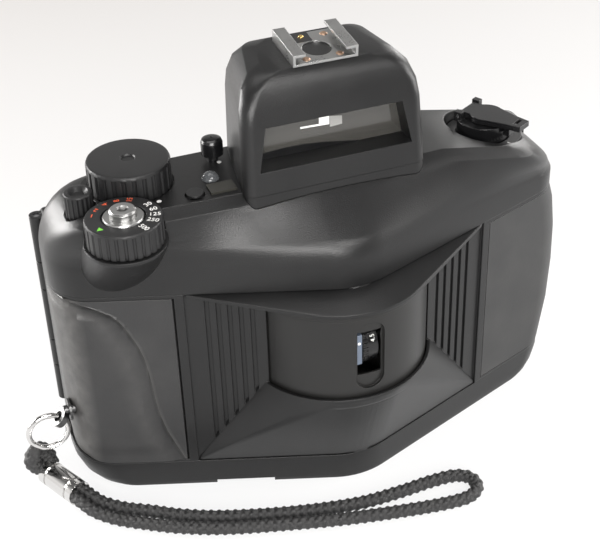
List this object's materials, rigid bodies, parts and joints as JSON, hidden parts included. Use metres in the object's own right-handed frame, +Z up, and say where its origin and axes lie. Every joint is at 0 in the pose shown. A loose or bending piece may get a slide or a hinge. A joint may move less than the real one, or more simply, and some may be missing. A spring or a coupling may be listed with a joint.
{
  "type": "panoramic camera",
  "caption": "Panoramic film camera with a rotating lens drum between two angled front walls, a tall finder housing with an accessory shoe, deck controls, a hinged back and a wrist cord.",
  "frame": {"origin": "centre of the tripod socket's mouth on the base, directly under the axis of the lens drum", "axes": "+X to the right in the picture (the rewind side), +Y back towards the film door, +Z up out of the top deck"},
  "size_m": [0.1928, 0.0871, 0.1437],
  "materials": {
    "shell_plastic": "fine-grained moulded black",
    "grip_rubber": "moulded rubber",
    "chassis_black": "matte black inside paint",
    "drum_satin": "satin dark grey",
    "gloss_black": "glossy black",
    "knob_black": "satin black",
    "bright_metal": "bright nickel",
    "steel": "turned steel",
    "brass": "cut brass",
    "copper_rivet": "coppery rivet",
    "gold_contact": "gold plated",
    "clear_glass": "coated glass",
    "smoky_window": "smoky window",
    "slider_blue": "blue-grey",
    "board_green": "circuit board",
    "cell_jacket": "printed jacket",
    "counter_white": "white disc",
    "cord_black": "braided cord"
  },
  "bodies": {
    "camera_body": {"front_shell": "shell_plastic", "top_cover": "shell_plastic", "base_plate": "shell_plastic", "viewfinder_housing": "shell_plastic", "left_grip": "grip_rubber", "right_grip": "grip_rubber", "chassis": "chassis_black", "eyepiece_frame": "gloss_black", "shoe_insulator": "knob_black", "hot_shoe": "bright_metal", "release_collar": "bright_metal", "strap_lug": "bright_metal", "strap_ring": "bright_metal", "strap_ferrule": "bright_metal", "upper_bearing": "steel", "lower_bearing": "steel", "drive_motor": "steel", "hinge_pin": "steel", "tripod_bush": "brass", "shoe_rivets": "copper_rivet", "shoe_contacts": "gold_contact", "viewfinder_window": "clear_glass", "finder_objective": "clear_glass", "eyepiece_lens": "clear_glass", "indicator_lens": "clear_glass", "counter_window": "smoky_window", "circuit_board": "board_green", "battery_cells": "cell_jacket", "strap_knot": "cord_black", "strap_cord": "cord_black"},
    "drum": {"lens_drum": "drum_satin", "drum_cap": "drum_satin", "drum_gear": "brass"},
    "lens_shift": {"shift_slider": "slider_blue", "lens_barrel": "knob_black", "lens_elements": "clear_glass"},
    "aperture": {"aperture_wheel": "gloss_black"},
    "motor_drive": {"motor_pinion": "brass"},
    "winder": {"wind_knob": "knob_black", "wind_shaft": "steel", "take_up_spool": "knob_black"},
    "film_sprocket": {"sprocket": "steel"},
    "film_roller": {"guide_roller": "steel"},
    "counter_disc": {"frame_counter": "counter_white"},
    "rewind_lift": {"rewind_collar": "steel"},
    "rewind_crank": {"rewind_shaft": "steel", "rewind_hub": "gloss_black", "crank_pin": "steel"},
    "crank_fold": {"crank_lever": "gloss_black"},
    "speed_ring": {"film_speed_ring": "knob_black"},
    "dial": {"speed_dial": "knob_black"},
    "release": {"release_button": "bright_metal"},
    "lock": {"lock_knob": "knob_black"},
    "mode": {"mode_button": "gloss_black"},
    "test": {"test_button": "knob_black"},
    "back_door": {"rear_door": "shell_plastic", "pressure_plate": "chassis_black"},
    "latch": {"door_latch": "knob_black"},
    "hatch": {"battery_door": "shell_plastic"}
  },
  "joints": [
    {"name": "drum_turn", "type": "hinge", "parent": "camera_body", "child": "drum", "pos_m": [0, 0, 0.0565], "axis": [0, 0, 1], "continuous": true},
    {"name": "lens_rise", "type": "slide", "parent": "drum", "child": "lens_shift", "axis": [0, 0, 1], "range_m": [-0.0036, 0]},
    {"name": "aperture_turn", "type": "hinge", "parent": "drum", "child": "aperture", "pos_m": [-0.0021, -0.0194, 0.0563], "axis": [1, 0, 0], "range_deg": [-75, 75]},
    {"name": "pinion_turn", "type": "hinge", "parent": "camera_body", "child": "motor_drive", "pos_m": [0.01937, 0.00412, 0.028], "axis": [0, 0, 1], "continuous": true},
    {"name": "wind_turn", "type": "hinge", "parent": "camera_body", "child": "winder", "pos_m": [-0.0575, 0.0195, 0.084], "axis": [0, 0, 1], "continuous": true},
    {"name": "sprocket_turn", "type": "hinge", "parent": "camera_body", "child": "film_sprocket", "pos_m": [-0.03397, 0.01657, 0.084], "axis": [0, 0, 1], "continuous": true},
    {"name": "roller_turn", "type": "hinge", "parent": "camera_body", "child": "film_roller", "pos_m": [0.03272, 0.01596, 0.0565], "axis": [0, 0, 1], "continuous": true},
    {"name": "counter_turn", "type": "hinge", "parent": "camera_body", "child": "counter_disc", "pos_m": [-0.0305, 0.009, 0.101], "axis": [0, 0, 1], "continuous": true},
    {"name": "rewind_pull", "type": "slide", "parent": "camera_body", "child": "rewind_lift", "axis": [0, 0, 1], "range_m": [0, 0.008]},
    {"name": "crank_turn", "type": "hinge", "parent": "rewind_lift", "child": "rewind_crank", "pos_m": [0.0593, 0.0165, 0.1], "axis": [0, 0, 1], "continuous": true},
    {"name": "crank_unfold", "type": "hinge", "parent": "rewind_crank", "child": "crank_fold", "pos_m": [0.0563, 0.0217, 0.104], "axis": [-0.866, -0.5, 0], "range_deg": [0, 150]},
    {"name": "speed_ring_turn", "type": "hinge", "parent": "camera_body", "child": "speed_ring", "pos_m": [0.0593, 0.0165, 0.0985], "axis": [0, 0, 1], "range_deg": [-120, 120]},
    {"name": "dial_turn", "type": "hinge", "parent": "camera_body", "child": "dial", "pos_m": [-0.0655, -0.0036, 0.103], "axis": [0, 0, 1], "range_deg": [-120, 180]},
    {"name": "release_press", "type": "slide", "parent": "camera_body", "child": "release", "axis": [0, 0, -1], "range_m": [0, 0.0016], "stiffness_N_per_m": 400},
    {"name": "lock_turn", "type": "hinge", "parent": "camera_body", "child": "lock", "pos_m": [-0.0746, 0.0124, 0.105], "axis": [0, 0, 1], "range_deg": [0, 90]},
    {"name": "mode_press", "type": "slide", "parent": "camera_body", "child": "mode", "axis": [0, 0, -1], "range_m": [0, 0.0018], "stiffness_N_per_m": 300},
    {"name": "test_press", "type": "slide", "parent": "camera_body", "child": "test", "axis": [0, 0, -1], "range_m": [0, 0.0007], "stiffness_N_per_m": 300},
    {"name": "door_swing", "type": "hinge", "parent": "camera_body", "child": "back_door", "pos_m": [-0.0842, 0.0357, 0.055], "axis": [0, 0, 1], "range_deg": [0, 110]},
    {"name": "latch_slide", "type": "slide", "parent": "back_door", "child": "latch", "axis": [0, 0, 1], "range_m": [-0.006, 0]},
    {"name": "hatch_swing", "type": "hinge", "parent": "camera_body", "child": "hatch", "pos_m": [-0.0425, 0.0272, 0.0013], "axis": [1, 0, 0], "range_deg": [0, 95]}
  ],
  "couplings": [
    {"joint": "pinion_turn", "follows": "drum_turn", "ratio": -4},
    {"joint": "sprocket_turn", "follows": "wind_turn", "ratio": -0.76471},
    {"joint": "counter_turn", "follows": "wind_turn", "ratio": 0.05}
  ]
}
